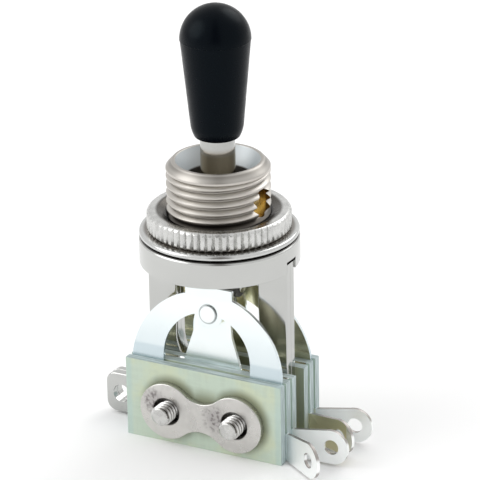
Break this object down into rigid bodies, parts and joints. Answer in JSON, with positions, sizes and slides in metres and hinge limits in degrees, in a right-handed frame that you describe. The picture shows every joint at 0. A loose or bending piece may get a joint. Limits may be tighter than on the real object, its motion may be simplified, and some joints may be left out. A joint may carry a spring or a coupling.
{
  "type": "toggle switch",
  "caption": "Three-position panel lever switch with a threaded bushing, a flat open frame and two stacks of leaf contacts with solder lugs.",
  "frame": {"origin": "on the bushing's axis, in the collar's upper face, where the panel's underside lies", "axes": "+Z along the bushing towards the lever's tip, +X along the pivot pin towards the contact solder lugs, -Y towards the tapped clamp plate"},
  "size_m": [0.0323, 0.0184, 0.0525],
  "materials": {
    "tip_black": "moulded, semi-gloss",
    "lever_steel": "nickel plated, bright",
    "cam_plastic": "dark laminated bush",
    "housing_nickel": "nickel plated brass, drilled hole bare",
    "pin_brass": "bare brass",
    "washer_nickel": "nickel plated",
    "nut_nickel": "nickel plated brass",
    "frame_nickel": "polished nickel plate",
    "leaf_silver": "silver plated spring sheet",
    "contact_silver": "silver",
    "insulator_green": "glass fibre laminate",
    "clamp_nickel": "nickel plated, scuffed",
    "screw_nickel": "nickel plated",
    "sleeve_plastic": "insulating tube"
  },
  "bodies": {
    "base": {"housing": "housing_nickel", "pivot_pin": "pin_brass", "washer": "washer_nickel", "knurled_nut": "nut_nickel", "frame": "frame_nickel", "front_clamp_plate": "clamp_nickel", "rear_clamp_plate": "clamp_nickel", "left_screw": "screw_nickel", "right_screw": "screw_nickel", "left_sleeve": "sleeve_plastic", "right_sleeve": "sleeve_plastic", "front_insulator_1": "insulator_green", "front_insulator_2": "insulator_green", "front_insulator_3": "insulator_green", "front_inner_leaf": "leaf_silver", "front_inner_contact": "contact_silver", "front_outer_leaf": "leaf_silver", "front_outer_contact": "contact_silver", "rear_insulator_1": "insulator_green", "rear_insulator_2": "insulator_green", "rear_insulator_3": "insulator_green", "rear_inner_leaf": "leaf_silver", "rear_inner_contact": "contact_silver", "rear_outer_leaf": "leaf_silver", "rear_outer_contact": "contact_silver"},
    "lever": {"lever_tip": "tip_black", "lever": "lever_steel", "cam_pin": "lever_steel", "left_cam_bush": "cam_plastic", "right_cam_bush": "cam_plastic"}
  },
  "joints": [
    {"name": "lever_tilt", "type": "hinge", "parent": "base", "child": "lever", "pos_m": [0, 0, 0.0044], "axis": [1, 0, 0], "range_deg": [-11, 11], "deforming": ["front_outer_leaf", "rear_outer_leaf"]}
  ]
}
